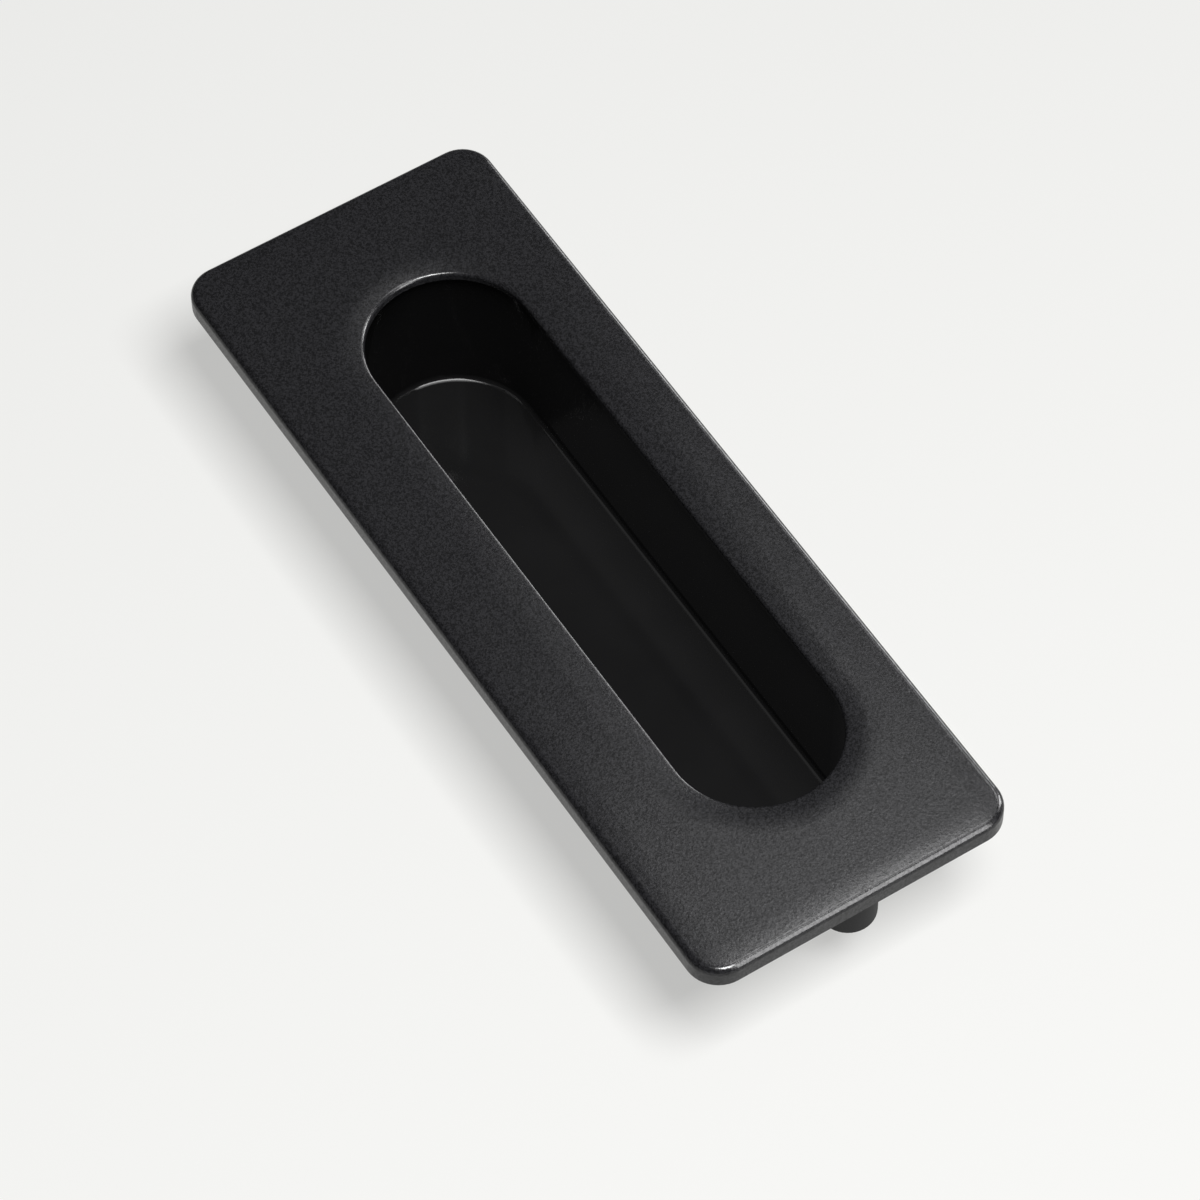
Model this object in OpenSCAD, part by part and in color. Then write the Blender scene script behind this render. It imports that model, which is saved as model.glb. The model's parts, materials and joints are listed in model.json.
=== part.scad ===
// Recessed pull handle for a sliding door or a drawer front.
// A die cast face plate with two fixing posts behind it holds a moulded finger cup.
// The slot in the plate lies nearer to one long side than to the other.
// +X runs along the plate and +Z points out of its face.
// The origin is under the middle of the plate, level with the underside of the cup.

/* [Fixing posts] */
// Distance between the two posts, centre to centre
hole_spacing = 128; // [96:1:224]
// Diameter of each post
post_d = 8.5; // [7:0.1:11]
// Length of each post below the back of the plate
post_h = 11.7; // [9:0.1:18]
// Radius round the free end of each post
post_end_r = 0.4; // [0.2:0.1:1]
// Fillet where each post grows out of the plate
post_foot_r = 0.5; // [0.2:0.1:1]
// Hole drilled for the M4 thread
tap_d = 3.3; // [2.5:0.1:4.2]
// Depth of the threaded hole
tap_depth = 10; // [7:0.5:12]
// Chamfer at the mouth of the threaded hole
tap_chamfer = 0.4; // [0.1:0.1:0.6]
// Point angle of the drill that made the hole
tap_point_angle = 118; // [90:1:140]
// Metal between each post and the end of the plate
post_end_margin = 3; // [1:0.1:10]
// Free space between each post's fillet and the seat of the cup
post_seat_gap = 0.3; // [0.1:0.1:6]

/* [Face plate] */
// Thickness of the plate, back to face
plate_t = 3.5; // [3:0.1:5]
// Radius of the plate's corners, seen from the front
corner_r = 5; // [4.5:0.1:12]
// Plate between the slot and the nearer long side
slim_margin = 10.3; // [9.5:0.1:30]
// Plate between the slot and the farther long side
wide_margin = 15.3; // [9.5:0.1:30]
// Radius of the faint crown beside the outer edge
edge_crown_r = 60; // [40:1:75]
// Angle that the faint crown turns through before the tight rounding
edge_crown_angle = 3; // [2:0.1:3.8]
// Tight rounding along the outer edge
edge_r = 1.1; // [0.4:0.1:1.2]
// Radius of the soft crown round the slot
lip_crown_r = 25; // [15:1:30]
// Angle that the soft crown turns through before the tight rounding
lip_crown_angle = 10; // [6:0.5:11]
// Tight rounding along the lip of the slot
lip_r = 0.6; // [0.2:0.1:0.8]
// Thickness of the lip over the seat of the cup
lip_t = 1.7; // [1.6:0.1:2.2]

/* [Slot and cup] */
// Width of the slot between its lips
slot_w = 25.4; // [20:0.1:40]
// Depth from the face to the floor of the cup
cup_depth = 26.4; // [16:0.1:45]
// Wall of the cup, measured level
cup_wall = 1.5; // [1:0.1:2.5]
// Floor of the cup
floor_t = 1.6; // [1:0.1:3]
// Draft of the cup's walls
cup_draft = 1; // [0.5:0.1:3]
// Fillet between the cup's walls and its floor
floor_r = 0.8; // [0.4:0.1:3]
// How far the lip hangs over the cup's wall
lip_overhang = 1; // [0.2:0.1:2]
// Width of the flange round the cup
flange_w = 3.5; // [2:0.1:5]
// Fillet under the flange
flange_root_r = 0.6; // [0.2:0.1:1.5]
// Clearance round the flange in its seat
seat_clear = 0.2; // [0.05:0.05:0.5]

/* [Hidden] */
$fn = 120;

// Slot, cup and seat, measured across from the centreline of the slot
slot_r = slot_w / 2;
cup_top_r = slot_r + lip_overhang;
flange_edge_r = cup_top_r + cup_wall + flange_w;
seat_r = flange_edge_r + seat_clear;

// Plan of the plate, laid out from the posts and the slot
post_r = post_d / 2;
post_x = hole_spacing / 2;
slot_half_l = post_x - post_r - post_foot_r - post_seat_gap - (seat_r - slot_r);
arc_x = slot_half_l - slot_r;
plate_l = hole_spacing + 2 * (post_r + post_end_margin);
plate_w = slot_w + slim_margin + wide_margin;
slot_y = (slim_margin - wide_margin) / 2;

// Heights above the underside of the cup
face_z = cup_depth + floor_t;
back_z = face_z - plate_t;
seat_z = face_z - lip_t;

// Cut that clears both faces of a wall
over = 1;

// How far a rounding reaches into what it runs into, so that no step is left between them
blend = 0.002;

// Reach of the cup's sections past the slot's centreline, where they are trimmed
past_middle = cup_top_r + over;

// Crown and tight rounding beside an edge of the face: radius of the crown, angle that it
// turns through, and radius of the tight rounding
outer_form = [edge_crown_r, edge_crown_angle, edge_r];
lip_form = [lip_crown_r, lip_crown_angle, lip_r];

// How far in the tight rounding is centred from where the face stops being flat, how high
// its centre is above the back, and how wide both roundings are together
function tight_x(form) = (form[0] - form[2] + blend) * sin(form[1]);
function tight_z(form) = plate_t - form[0] + (form[0] - form[2] + blend) * cos(form[1]);
function edge_zone(form) = tight_x(form) + form[2];

// Strip round the slot that holds the lip's roundings, in whole tenths, and how far it runs
// on into the flat plate around it
strip_lap = 0.1;
lip_strip = ceil(10 * edge_zone(lip_form)) / 10 + strip_lap;

// How far the cup's inner wall has drawn in below its top edge
function drawn_in(z) = (seat_z - z) * tan(cup_draft);

// Section beside an edge of the plate, with the edge at x = 0 and the plate on its left:
// flat face, soft crown, tight rounding and upright side
module edge_section(form, strip) {
    crown_r = form[0];
    crown_angle = form[1];
    tight_r = form[2];
    zone = edge_zone(form);
    z = tight_z(form);
    ray_z = z + plate_t * cos(crown_angle);
    translate([-strip, 0])
        square([strip - zone, plate_t]);
    translate([-strip, 0])
        square([strip, z]);
    intersection() {
        translate([-zone, plate_t - crown_r])
            circle(crown_r);
        polygon([
            [-strip, 0],
            [-tight_r, 0],
            [-tight_r, z],
            [-tight_r + plate_t * sin(crown_angle), ray_z],
            [-strip, ray_z]
        ]);
    }
    translate([-tight_r, z])
        circle(tight_r);
}

// Stands a section across the X axis and extrudes it by length
module along_x(length) {
    rotate([90, 0, 90])
        translate([0, 0, -length / 2])
            linear_extrude(length)
                children();
}

// Carries a section round the slot, x measured outwards from its centreline
module round_slot() {
    along_x(2 * arc_x) {
        children();
        mirror([1, 0])
            children();
    }
    for (end = [0, 1])
        mirror([end, 0, 0])
            translate([arc_x, 0, 0])
                rotate([0, 0, -90])
                    rotate_extrude(angle = 180)
                        children();
}

// Upright prism over an outline at a distance r from the slot's centreline
module slot_prism(r, height) {
    linear_extrude(height) {
        square([2 * arc_x, 2 * r], center = true);
        for (end = [-1, 1])
            translate([end * arc_x, 0])
                circle(r);
    }
}

// The plate's blank, standing on its back
module plate_blank() {
    core_l = plate_l - 2 * corner_r;
    core_w = plate_w - 2 * corner_r;
    linear_extrude(plate_t)
        square([core_l, core_w], center = true);
    for (side = [0, 1])
        mirror([0, side, 0])
            translate([0, plate_w / 2, 0])
                along_x(core_l)
                    edge_section(outer_form, corner_r);
    for (end = [90, 270])
        rotate([0, 0, end])
            translate([0, plate_l / 2, 0])
                along_x(core_w)
                    edge_section(outer_form, corner_r);
    for (end = [0, 1], side = [0, 1])
        mirror([end, 0, 0])
            mirror([0, side, 0])
                translate([core_l / 2, core_w / 2, 0])
                    rotate_extrude(angle = 90)
                        translate([corner_r, 0])
                            edge_section(outer_form, corner_r);
}

// Rounded lip of the slot, from its edge out to where the face is flat
module slot_lip() {
    round_slot()
        translate([slot_r, 0])
            mirror([1, 0])
                edge_section(lip_form, lip_strip);
}

// Post below the back of the plate, with its fillet and its rounded end
module post() {
    rotate_extrude() {
        translate([0, -post_h])
            square([post_r - post_end_r, post_h]);
        translate([0, post_end_r - post_h])
            square([post_r, post_h - post_end_r]);
        translate([post_r - post_end_r, post_end_r - post_h])
            circle(post_end_r);
        difference() {
            translate([post_r, -post_foot_r])
                square(post_foot_r);
            translate([post_r + post_foot_r, -post_foot_r])
                circle(post_foot_r);
        }
    }
}

// Threaded hole with its mouth at z = 0, seen as the metal that the drill takes out
module tapped_hole() {
    tap_r = tap_d / 2;
    tip_h = tap_r / tan(tap_point_angle / 2);
    cylinder(r = tap_r, h = tap_depth);
    translate([0, 0, tap_depth])
        cylinder(r1 = tap_r, r2 = 0, h = tip_h);
    translate([0, 0, -over])
        cylinder(r1 = tap_r + tap_chamfer + over, r2 = tap_r, h = tap_chamfer + over);
}

module face_plate() {
    color([0.15, 0.15, 0.16])
        translate([0, 0, back_z])
            difference() {
                union() {
                    difference() {
                        plate_blank();
                        translate([0, slot_y, -over])
                            slot_prism(slot_r + lip_strip - strip_lap, plate_t + 2 * over);
                    }
                    translate([0, slot_y, 0])
                        slot_lip();
                    for (end = [-1, 1])
                        translate([end * post_x, slot_y, 0])
                            post();
                }
                translate([0, slot_y, -over])
                    slot_prism(seat_r, seat_z - back_z + over);
                for (end = [-1, 1])
                    translate([end * post_x, slot_y, -post_h])
                        tapped_hole();
            }
}

// Outer form of the cup, with the top edge of its inner wall at x = 0
module cup_outside() {
    bottom_r = floor_r + cup_wall;
    x = cup_wall - drawn_in(bottom_r) - bottom_r / cos(cup_draft);
    polygon([
        [-past_middle, 0],
        [x, 0],
        [x, bottom_r],
        [x + (bottom_r - blend) * cos(cup_draft), bottom_r - (bottom_r - blend) * sin(cup_draft)],
        [cup_wall, seat_z],
        [-past_middle, seat_z]
    ]);
    translate([x, bottom_r])
        circle(bottom_r);
}

// Space inside the cup, open at the top, placed as the outer form
module cup_inside() {
    z = floor_t + floor_r;
    x = -drawn_in(z) - floor_r / cos(cup_draft);
    mouth_z = seat_z + over;
    polygon([
        [-past_middle, floor_t],
        [x, floor_t],
        [x, z],
        [x + (floor_r - blend) * cos(cup_draft), z - (floor_r - blend) * sin(cup_draft)],
        [-drawn_in(mouth_z), mouth_z],
        [-past_middle, mouth_z]
    ]);
    translate([x, z])
        circle(floor_r);
}

// Flange that lies in the plate's seat, with the fillet under it, placed as the outer form
module cup_flange() {
    z = back_z - flange_root_r;
    x = cup_wall - drawn_in(z) + flange_root_r / cos(cup_draft) - blend;
    translate([0, back_z])
        square([cup_wall + flange_w, seat_z - back_z]);
    difference() {
        translate([0, z])
            square([x, flange_root_r]);
        translate([x, z])
            circle(flange_root_r);
    }
}

module cup() {
    color([0.05, 0.05, 0.055])
        translate([0, slot_y, 0])
            round_slot()
                intersection() {
                    square([flange_edge_r, seat_z]);
                    translate([cup_top_r, 0])
                        difference() {
                            union() {
                                cup_outside();
                                cup_flange();
                            }
                            cup_inside();
                        }
                }
}

face_plate();
cup();
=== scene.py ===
"""Recessed pull handle: its finishes, the threads in its posts and a plain studio."""

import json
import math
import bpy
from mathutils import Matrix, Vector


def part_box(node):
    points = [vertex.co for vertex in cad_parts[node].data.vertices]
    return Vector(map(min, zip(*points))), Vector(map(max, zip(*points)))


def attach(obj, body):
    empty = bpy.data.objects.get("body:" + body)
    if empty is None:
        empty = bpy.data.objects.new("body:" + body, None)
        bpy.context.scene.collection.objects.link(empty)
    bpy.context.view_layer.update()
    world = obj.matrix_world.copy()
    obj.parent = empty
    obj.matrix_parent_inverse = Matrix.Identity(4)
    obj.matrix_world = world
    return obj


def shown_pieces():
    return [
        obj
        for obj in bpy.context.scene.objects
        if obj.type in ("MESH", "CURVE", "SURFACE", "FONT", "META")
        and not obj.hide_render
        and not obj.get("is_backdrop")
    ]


bl_info = {
    "name": "Recessed Pull Handle",
    "version": (1, 0, 0),
    "blender": (4, 5, 0),
    "location": "View3D > Sidebar > Pull Handle",
    "description": "Finishes a recessed pull handle and sets up a plain studio around it",
    "category": "Object",
}

import bpy
from bpy.props import FloatProperty, FloatVectorProperty, PointerProperty
from mathutils import Matrix, Vector

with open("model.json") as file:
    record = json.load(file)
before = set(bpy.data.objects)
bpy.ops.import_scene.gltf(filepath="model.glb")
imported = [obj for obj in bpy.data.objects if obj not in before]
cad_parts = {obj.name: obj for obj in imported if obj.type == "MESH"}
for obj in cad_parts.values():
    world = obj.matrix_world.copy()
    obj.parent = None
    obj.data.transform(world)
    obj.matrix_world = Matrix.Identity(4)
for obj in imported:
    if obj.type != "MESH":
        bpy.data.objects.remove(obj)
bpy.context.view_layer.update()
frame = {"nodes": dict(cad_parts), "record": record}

MM = 0.001
MICRON = 0.000001


class Wire:
    """A socket that gives a value. Maths on it adds Math nodes to the same tree."""

    def __init__(self, tree, socket):
        self.tree = tree
        self.socket = socket

    def math(self, operation, *values):
        return self.tree.node("ShaderNodeMath", {"operation": operation}, dict(enumerate(values)))

    def __add__(self, other):
        return self.math("ADD", self, other)

    __radd__ = __add__

    def __sub__(self, other):
        return self.math("SUBTRACT", self, other)

    def __rsub__(self, other):
        return self.math("SUBTRACT", other, self)

    def __mul__(self, other):
        return self.math("MULTIPLY", self, other)

    __rmul__ = __mul__

    def __truediv__(self, other):
        return self.math("DIVIDE", self, other)

    def ramp(self, low, high):
        """0 where the value is low, 1 where it is high, and smooth between them."""
        sockets = {"Value": self, "From Min": low, "From Max": high}
        return self.tree.node("ShaderNodeMapRange", {"interpolation_type": "SMOOTHSTEP"}, sockets)


class Tree:
    """A node tree. Its node method makes any node, with its settings first and then its sockets."""

    def __init__(self, tree):
        self.tree = tree
        self.tree.nodes.clear()

    def node(self, kind, settings=None, inputs=None, output=0):
        node = self.tree.nodes.new(kind)
        for key, value in (settings or {}).items():
            setattr(node, key, value)
        for key, value in (inputs or {}).items():
            if isinstance(value, Wire):
                self.tree.links.new(value.socket, node.inputs[key])
            else:
                node.inputs[key].default_value = value
        return Wire(self, node.outputs[output]) if len(node.outputs) else None


class Shader(Tree):
    """The node tree of a material or of the world."""

    def __init__(self, owner):
        owner.use_nodes = True
        self.owner = owner
        super().__init__(owner.node_tree)

    def place(self):
        """Where a point of the piece is, in millimetres."""
        metres = self.node("ShaderNodeTexCoord", output="Object")
        sockets = {0: metres, "Scale": 1 / MM}
        return self.node("ShaderNodeVectorMath", {"operation": "SCALE"}, sockets)

    def noise(self, place, size, detail=0.0, distortion=0.0):
        """Noise between 0 and 1 whose lumps are about size millimetres apart."""
        sockets = {"Vector": place, "Scale": 1 / size, "Detail": detail, "Distortion": distortion}
        return self.node("ShaderNodeTexNoise", {"noise_dimensions": "3D"}, sockets, "Fac")

    def bump(self, height, metres):
        sockets = {"Height": height, "Distance": metres, "Strength": 1.0}
        return self.node("ShaderNodeBump", {}, sockets)

    def mix(self, factor, first, second):
        """Two colours, mixed through the Mix node's own colour sockets."""
        sockets = {0: factor, 6: first, 7: second}
        return self.node("ShaderNodeMix", {"data_type": "RGBA"}, sockets, output=2)

    def ray(self, kind):
        """1 for rays of one kind, such as Camera, and 0 for all others."""
        return self.node("ShaderNodeLightPath", output=f"Is {kind} Ray")

    def principled(self, **sockets):
        named = {key.replace("_", " "): value for key, value in sockets.items()}
        surface = self.node("ShaderNodeBsdfPrincipled", {}, named)
        self.node("ShaderNodeOutputMaterial", {}, {"Surface": surface})


def rgba(colour, shade=1.0):
    """A colour property as a socket's value, lighter or darker by shade."""
    return (*(channel * shade for channel in colour), 1.0)


def dress(name, material):
    """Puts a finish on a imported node."""
    for slot in frame["nodes"][name].material_slots:
        slot.material = material


def settings(context, group):
    return getattr(context.scene, group)


# ---- Face plate ----

# Depth of the cup's seat in the back of the plate
SEAT_DEPTH = 1.8 * MM
# Height over which the posts' painted shade and duller coat fade out, up to the back of the plate
SHADE_AND_DULL_EDGE = 0.3 * MM
# Size of the faint patches in the coat, in millimetres
COAT_PATCH = 9.0
# Size of the flecks in the coat, as a share of its grain
FLECK_SHARE = 0.9
# Shades of the coat's colour: between its lumps, on them, and as painted shade on the posts and
# back under the plate
HOLLOW_SHADE = 0.55
LUMP_SHADE = 1.45
PAINTED_SHADE_UNDER_PLATE = 0.6


class PlateFinish(bpy.types.PropertyGroup):
    """Black powder coat over a die casting."""

    colour: FloatVectorProperty(
        name="Coat colour", description="Colour of the powder coat", subtype="COLOR",
        size=3, min=0.0, max=1.0, default=(0.0105, 0.0105, 0.0115))
    grain: FloatProperty(
        name="Grain", description="Distance between the lumps of the orange peel",
        unit="LENGTH", default=0.38 * MM, min=0.1 * MM)
    grain_height: FloatProperty(
        name="Grain height", description="Height of the orange peel",
        unit="LENGTH", precision=6, default=20 * MICRON, min=0.0)
    roughness: FloatProperty(
        name="Roughness", description="Roughness of the coat between its lumps",
        subtype="FACTOR", default=0.22, min=0.0, max=1.0)


def powder_coat(finish):
    coat = Shader(bpy.data.materials.new("powder_coat"))
    place = coat.place()
    fleck = FLECK_SHARE * finish.grain / MM
    grain = coat.noise(place, finish.grain / MM, detail=1.0, distortion=0.4)
    patches = coat.noise(place, COAT_PATCH, detail=2.0)
    speckle = coat.noise(place, fleck, detail=2.0)
    lumps = coat.noise(place, fleck, distortion=1.2).ramp(0.35, 0.65)
    # The posts and the back get a duller coat, and their colour is darkened with painted shade from
    # the plate above them
    back = (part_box("cup")[1].z - SEAT_DEPTH) / MM
    height = coat.node("ShaderNodeSeparateXYZ", {}, {"Vector": place}, "Z")
    front = height.ramp(back - SHADE_AND_DULL_EDGE / MM, back)
    peel = coat.mix(lumps, rgba(finish.colour, HOLLOW_SHADE), rgba(finish.colour, LUMP_SHADE))
    smoothest = finish.roughness - 0.04
    dullness = 0.3 * (1 - front)
    gloss = 0.10 + 0.30 * lumps
    coat.principled(
        # Posts and back take a darker colour: painted shade under the plate
        Base_Color=coat.mix(front, rgba(finish.colour, PAINTED_SHADE_UNDER_PLATE), peel),
        Roughness=smoothest + 0.05 * grain + 0.04 * patches + dullness,
        Coat_Weight=gloss * front,
        Coat_Roughness=0.12,
        IOR=1.45,
        Normal=coat.bump(grain + 0.25 * speckle, finish.grain_height))
    return coat.owner


class FinishFacePlate(bpy.types.Operator):
    """Coat the face plate and its posts"""

    bl_idname = "pull_handle.finish_face_plate"
    bl_label = "Coat the face plate"

    def execute(self, context):
        dress("face_plate", powder_coat(settings(context, "pull_handle_plate")))
        return {"FINISHED"}


# ---- Cup ----

# Size of the moulding's fine pits and of its hazy patches, in millimetres
PIT = 0.5
HAZE_PATCH = 12.0
# Shades of the moulding's colour where it is clear and where it is hazy
CLEAR_SHADE = 0.8
HAZY_SHADE = 1.2


class CupFinish(bpy.types.PropertyGroup):
    """Gloss black moulding."""

    colour: FloatVectorProperty(
        name="Moulding colour", description="Colour of the cup's plastic", subtype="COLOR",
        size=3, min=0.0, max=1.0, default=(0.012, 0.012, 0.0123))
    roughness: FloatProperty(
        name="Roughness", description="Roughness of the polished moulding",
        subtype="FACTOR", default=0.10, min=0.0, max=1.0)
    ripple: FloatProperty(
        name="Ripple", description="Distance between the faint waves left in the moulding",
        unit="LENGTH", default=3.2 * MM, min=0.1 * MM)
    ripple_height: FloatProperty(
        name="Ripple height", description="Height of the faint waves",
        unit="LENGTH", precision=6, default=4 * MICRON, min=0.0)


def gloss_moulding(finish):
    gloss = Shader(bpy.data.materials.new("gloss_moulding"))
    place = gloss.place()
    ripple = gloss.noise(place, finish.ripple / MM, detail=1.0)
    pits = gloss.noise(place, PIT, detail=2.0)
    haze = gloss.noise(place, HAZE_PATCH, detail=3.0)
    smoothest = finish.roughness - 0.03
    gloss.principled(
        Base_Color=gloss.mix(
            haze, rgba(finish.colour, CLEAR_SHADE), rgba(finish.colour, HAZY_SHADE)),
        Roughness=smoothest + 0.06 * haze + 0.02 * pits,
        Normal=gloss.bump(ripple + 0.08 * pits, finish.ripple_height))
    return gloss.owner


class FinishCup(bpy.types.Operator):
    """Polish the finger cup"""

    bl_idname = "pull_handle.finish_cup"
    bl_label = "Polish the cup"

    def execute(self, context):
        dress("cup", gloss_moulding(settings(context, "pull_handle_cup")))
        return {"FINISHED"}


# ---- Threads in the posts ----

# Size of the smears and scratches on the thread, in millimetres, and the scratches' depth
SMEAR = 0.8
SCRATCH = 0.12
SCRATCH_DEPTH = 3 * MICRON
# Shades of the thread's colour where the coat is thin and where it has run together
RUBBED_SHADE = 0.7
SMEARED_SHADE = 1.6
# How far the middle of the ridge's section lies inside the wall, as a share of the ridge
BURIED_SHARE = 0.4
# Steps in one turn of the thread
TURN_STEPS = 32


class ThreadSizes(bpy.types.PropertyGroup):
    """Thread cut in the posts' holes for an M4 screw."""

    pitch: FloatProperty(
        name="Pitch", description="Distance between two turns of the thread",
        unit="LENGTH", default=0.7 * MM, min=0.2 * MM)
    ridge: FloatProperty(
        name="Ridge", description="Height of the thread's ridge over the wall of the hole",
        unit="LENGTH", precision=5, default=0.16 * MM, min=0.02 * MM)
    length: FloatProperty(
        name="Length", description="Length of the thread from the chamfer of the hole",
        unit="LENGTH", default=8.4 * MM, min=1 * MM)
    chamfer: FloatProperty(
        name="Chamfer", description="Depth of the chamfer at the mouth of the hole",
        unit="LENGTH", default=0.4 * MM, min=0.0)
    colour: FloatVectorProperty(
        name="Thread colour", description="Colour of the coat that has run into the thread",
        subtype="COLOR", size=3, min=0.0, max=1.0, default=(0.02, 0.02, 0.021))


def thin_coat(sizes):
    coat = Shader(bpy.data.materials.new("thin_coat"))
    place = coat.place()
    smear = coat.noise(place, SMEAR, detail=3.0)
    scratch = coat.noise(place, SCRATCH, detail=1.0)
    coat.principled(
        Base_Color=coat.mix(
            smear, rgba(sizes.colour, RUBBED_SHADE), rgba(sizes.colour, SMEARED_SHADE)),
        Roughness=0.3 + 0.2 * smear,
        Normal=coat.bump(scratch, SCRATCH_DEPTH))
    return coat.owner


def thread_tree(material):
    """One ridge wound up a hole, repeated in the other post."""
    group = bpy.data.node_groups.new("thread", "GeometryNodeTree")
    tree = Tree(group)
    for name in ("Pitch", "Ridge", "Length", "Hole radius", "Spacing"):
        group.interface.new_socket(name, in_out="INPUT", socket_type="NodeSocketFloat")
    group.interface.new_socket("Mouth", in_out="INPUT", socket_type="NodeSocketVector")
    group.interface.new_socket("Geometry", in_out="OUTPUT", socket_type="NodeSocketGeometry")

    def given(name):
        return tree.node("NodeGroupInput", output=name)

    turns = given("Length") / given("Pitch")
    # The ridge's section is a square on its corner, with its centre a little inside the wall
    buried = BURIED_SHARE * given("Ridge")
    middle = given("Hole radius") + buried
    spiral = tree.node("GeometryNodeCurveSpiral", {}, {
        "Resolution": TURN_STEPS, "Rotations": turns, "Start Radius": middle,
        "End Radius": middle, "Height": given("Length"), "Reverse": True})
    upright = tree.node("GeometryNodeSetCurveNormal", {"mode": "Z_UP"}, {"Curve": spiral})
    section = tree.node("GeometryNodeCurvePrimitiveCircle", {"mode": "RADIUS"}, {
        "Resolution": 4, "Radius": given("Ridge") + buried})
    # It fades in over the first turn and out over the last
    along = tree.node("GeometryNodeSplineParameter", output="Factor") * turns
    fade = along.ramp(0.0, 1.0) * (turns - along).ramp(0.0, 1.0)
    ridge = tree.node("GeometryNodeCurveToMesh", {}, {
        "Curve": upright, "Profile Curve": section, "Scale": fade, "Fill Caps": True})
    across = tree.node("ShaderNodeCombineXYZ", {}, {"X": given("Spacing")})
    posts = tree.node("GeometryNodeMeshLine", {"mode": "OFFSET"}, {
        "Count": 2, "Start Location": given("Mouth"), "Offset": across})
    both = tree.node("GeometryNodeInstanceOnPoints", {}, {"Points": posts, "Instance": ridge})
    solid = tree.node("GeometryNodeRealizeInstances", {}, {"Geometry": both})
    coated = tree.node("GeometryNodeSetMaterial", {}, {"Geometry": solid, "Material": material})
    tree.node("NodeGroupOutput", {}, {"Geometry": coated})
    return group


def made_mesh(name, group, values):
    """The mesh that a Geometry Nodes tree makes, on an object of its own."""
    piece = bpy.data.objects.new(name, bpy.data.meshes.new(name))
    bpy.context.scene.collection.objects.link(piece)
    modifier = piece.modifiers.new(name, "NODES")
    modifier.node_group = group
    for item in group.interface.items_tree:
        if item.in_out == "INPUT":
            modifier[item.identifier] = values[item.name]
    whole = piece.evaluated_get(bpy.context.evaluated_depsgraph_get())
    mesh = bpy.data.meshes.new_from_object(whole)
    piece.modifiers.clear()
    piece.data = mesh
    return piece


class CutThreads(bpy.types.Operator):
    """Cut the thread in both posts"""

    bl_idname = "pull_handle.cut_threads"
    bl_label = "Cut the threads"

    def execute(self, context):
        sizes = settings(context, "pull_handle_thread")
        mount = next(each for each in frame["record"]["mounts"] if each["name"] == "fixing_posts")
        spacing = mount["dims"]["spacing_x_mm"] * MM
        x, y, _ = mount["pos_m"]
        post_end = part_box("face_plate")[0].z
        threads = made_mesh("post_threads", thread_tree(thin_coat(sizes)), {
            "Pitch": sizes.pitch, "Ridge": sizes.ridge, "Length": sizes.length,
            "Hole radius": mount["dims"]["hole_r_mm"] * MM, "Spacing": spacing,
            "Mouth": (x - spacing / 2, y, post_end + sizes.chamfer)})
        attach(threads, "root")
        return {"FINISHED"}


# ---- Stage ----

# Width of the camera's sensor, in millimetres
SENSOR_WIDTH = 36.0
# Point on the face of the plate that the camera and the lamps look at
AIM = Vector((-10.48 * MM, 3.93 * MM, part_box("face_plate")[1].z))
# Share of the floor's plain colour in what the camera sees of it. The rest is light and shade.
PLAIN_SHARE = 0.57
# How much of that plain colour reflections lose
MIRROR_LOSS = 0.8
# Light that comes from the room round the stage
ROOM_GLOW = 0.03

# Each lamp: name, bearing from the camera's own, elevation, distance, width, height and power.
# Angles are in degrees, and a bearing is positive to the camera's right.
KEY = ("key_lamp", 32, 67, 1.00, 0.36, 0.36, 11.5)
# Softboxes that light the plate alone, so that the floor keeps one clean shadow
PLATE_LAMPS = (
    ("front_panel", 53, 28, 0.70, 0.25, 0.62, 3.6),
    ("top_card", 93, 68, 0.48, 0.20, 0.10, 0.20),
    ("right_top_card", 143, 70, 0.48, 0.10, 0.10, 0.21),
    ("far_top_card", 168, 64, 0.50, 0.10, 0.10, 0.030),
    ("far_middle_card", 163, 54, 0.56, 0.16, 0.08, 0.014),
    ("right_side_card", 146, 49, 0.60, 0.10, 0.085, 0.20),
    ("right_low_card", 156, 39, 0.71, 0.20, 0.07, 0.17),
    ("low_strip", 150, 11, 0.70, 0.22, 0.25, 0.95),
    ("right_panel", 122, 25, 0.70, 0.20, 0.35, 2.6),
)
# Wide boxes for the cup alone, whose gloss would show every small lamp
CUP_LAMPS = (
    ("cup_top", 20, 82, 0.60, 0.35, 0.35, 3.30),
    ("cup_side", 248, 52, 0.60, 0.45, 0.45, 0.17),
)


class StageSettings(bpy.types.PropertyGroup):
    """Floor, lamps and camera."""

    floor_colour: FloatVectorProperty(
        name="Floor colour", description="Colour of the floor and of what stands far behind it",
        subtype="COLOR", size=3, min=0.0, max=1.0, default=(0.896, 0.896, 0.880))
    floor_size: FloatProperty(
        name="Floor size", description="Length of the floor's sides",
        unit="LENGTH", default=6.0, min=1.0)
    azimuth: FloatProperty(
        name="Camera azimuth", description="Bearing of the camera from the handle's +X",
        subtype="ANGLE", default=math.radians(148.28))
    elevation: FloatProperty(
        name="Camera elevation", description="Height of the camera over the face, as an angle",
        subtype="ANGLE", default=math.radians(55.35))
    roll: FloatProperty(
        name="Camera roll", description="Turn of the camera about its own axis",
        subtype="ANGLE", default=math.radians(-0.95))
    distance: FloatProperty(
        name="Camera distance", description="From the camera to the point that it looks at",
        unit="LENGTH", default=757.8 * MM, min=0.2)
    lens: FloatProperty(
        name="Lens", description="Focal length on a sensor 36 mm wide",
        unit="CAMERA", default=161.27, min=20.0)


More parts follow.
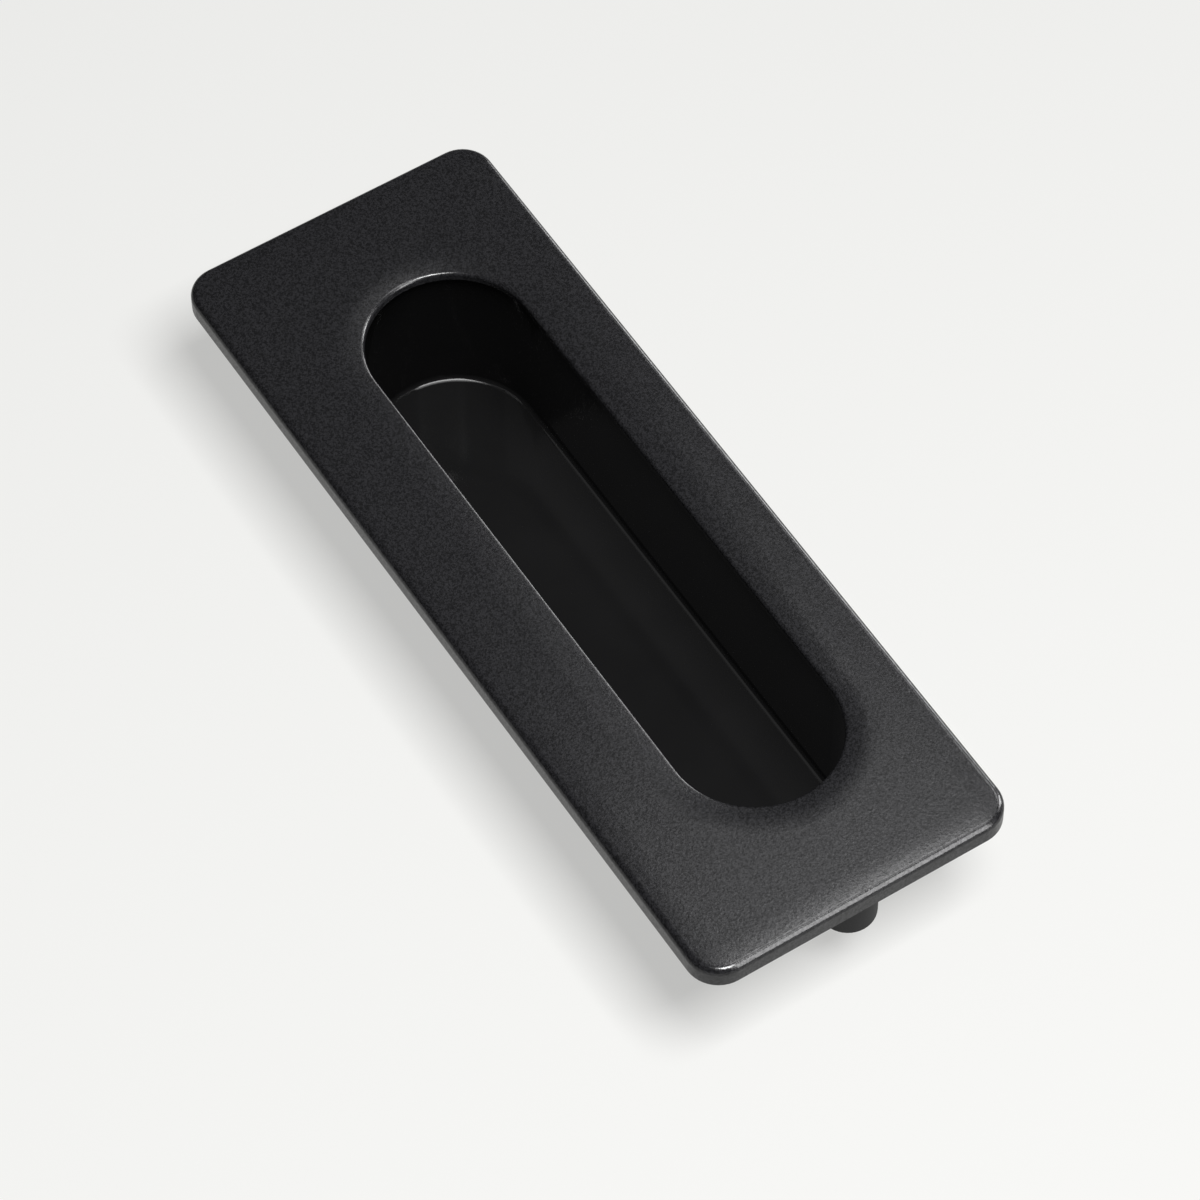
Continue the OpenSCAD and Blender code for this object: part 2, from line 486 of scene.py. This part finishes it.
def hang(name, data, azimuth, elevation, distance, roll=0.0):
    """A lamp or camera that looks at the aim from a distance."""
    level = math.cos(elevation)
    way = Vector((level * math.cos(azimuth), level * math.sin(azimuth), math.sin(elevation)))
    turn = way.to_track_quat("Z", "Y").to_matrix() @ Matrix.Rotation(roll, 3, "Z")
    each = bpy.data.objects.new(name, data)
    bpy.context.scene.collection.objects.link(each)
    each.matrix_world = Matrix.Translation(AIM + way * distance) @ turn.to_4x4()
    return each


def add_camera(stage):
    data = bpy.data.cameras.new("camera")
    data.lens = stage.lens
    data.sensor_width = SENSOR_WIDTH
    bpy.context.scene.camera = hang(
        "camera", data, stage.azimuth, stage.elevation, stage.distance, stage.roll)


def add_lamps(stage, lamps, lit):
    """Hangs lamps that light only the objects of one collection."""
    for name, bearing, elevation, distance, width, height, power in lamps:
        data = bpy.data.lights.new(name, "AREA")
        data.shape = "RECTANGLE"
        data.size = width
        data.size_y = height
        data.energy = power
        azimuth = stage.azimuth + math.radians(bearing)
        lamp = hang(name, data, azimuth, math.radians(elevation), distance)
        lamp.light_linking.receiver_collection = lit


def only(name, lit):
    """A collection of the objects that some lamps light."""
    collection = bpy.data.collections.new(name)
    for each in lit:
        collection.objects.link(each)
    return collection


def add_floor(stage):
    paint = Shader(bpy.data.materials.new("floor_paint"))
    colour = rgba(stage.floor_colour)
    glossy = paint.ray("Glossy")
    strength = 1.0 - MIRROR_LOSS * glossy
    plain = PLAIN_SHARE * (paint.ray("Camera") + glossy + paint.ray("Transmission"))
    matt = paint.node("ShaderNodeBsdfDiffuse", {}, {"Color": colour})
    bright = paint.node("ShaderNodeEmission", {}, {"Color": colour, "Strength": strength})
    surface = paint.node("ShaderNodeMixShader", {}, {0: plain, 1: matt, 2: bright})
    paint.node("ShaderNodeOutputMaterial", {}, {"Surface": surface})
    half = stage.floor_size / 2
    corners = [(-half, -half, 0), (half, -half, 0), (half, half, 0), (-half, half, 0)]
    mesh = bpy.data.meshes.new("floor")
    mesh.from_pydata(corners, [], [(0, 1, 2, 3)])
    mesh.materials.append(paint.owner)
    floor = bpy.data.objects.new("floor", mesh)
    bpy.context.scene.collection.objects.link(floor)
    floor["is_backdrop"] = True
    return floor


def set_world(stage):
    world = bpy.data.worlds.new("studio")
    bpy.context.scene.world = world
    air = Shader(world)
    colour = rgba(stage.floor_colour)
    # Only the camera sees the pale background. Gloss mirrors the dim glow instead.
    glow = air.node("ShaderNodeBackground", {}, {"Color": colour, "Strength": ROOM_GLOW})
    bright = air.node("ShaderNodeBackground", {}, {"Color": colour, "Strength": 1.0})
    surface = air.node("ShaderNodeMixShader", {}, {0: air.ray("Camera"), 1: glow, 2: bright})
    air.node("ShaderNodeOutputWorld", {}, {"Surface": surface})


class SetStage(bpy.types.Operator):
    """Lay the floor, hang the lamps and place the camera"""

    bl_idname = "pull_handle.set_stage"
    bl_label = "Set the stage"

    def execute(self, context):
        stage = settings(context, "pull_handle_stage")
        floor = add_floor(stage)
        set_world(stage)
        cup = frame["nodes"]["cup"]
        coated = [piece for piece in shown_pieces() if piece != cup]
        add_lamps(stage, [KEY], only("floor_and_plate", [floor, *coated]))
        add_lamps(stage, PLATE_LAMPS, only("plate_only", coated))
        add_lamps(stage, CUP_LAMPS, only("cup_only", [cup]))
        add_camera(stage)
        context.scene.view_settings.view_transform = "Standard"
        return {"FINISHED"}


class PullHandlePanel(bpy.types.Panel):
    """Steps that make the pull handle"""

    bl_idname = "VIEW3D_PT_pull_handle"
    bl_label = "Pull Handle"
    bl_space_type = "VIEW_3D"
    bl_region_type = "UI"
    bl_category = "Pull Handle"

    def draw(self, context):
        for group, operator in STEPS:
            box = self.layout.box()
            values = settings(context, group)
            for key in values.bl_rna.properties.keys():
                if key not in {"rna_type", "name"}:
                    box.prop(values, key)
            box.operator(operator.bl_idname)


GROUPS = {
    "pull_handle_plate": PlateFinish,
    "pull_handle_cup": CupFinish,
    "pull_handle_thread": ThreadSizes,
    "pull_handle_stage": StageSettings,
}
STEPS = (
    ("pull_handle_plate", FinishFacePlate),
    ("pull_handle_cup", FinishCup),
    ("pull_handle_thread", CutThreads),
    ("pull_handle_stage", SetStage),
)
CLASSES = (*GROUPS.values(), *(operator for _, operator in STEPS), PullHandlePanel)


def register():
    for each in CLASSES:
        bpy.utils.register_class(each)
    for name, group in GROUPS.items():
        setattr(bpy.types.Scene, name, PointerProperty(type=group))


def unregister():
    for name in GROUPS:
        delattr(bpy.types.Scene, name)
    for each in reversed(CLASSES):
        bpy.utils.unregister_class(each)


def main():
    register()
    for _, operator in STEPS:
        category, name = operator.bl_idname.split(".")
        getattr(getattr(bpy.ops, category), name)()


if __name__ == "__main__":
    main()
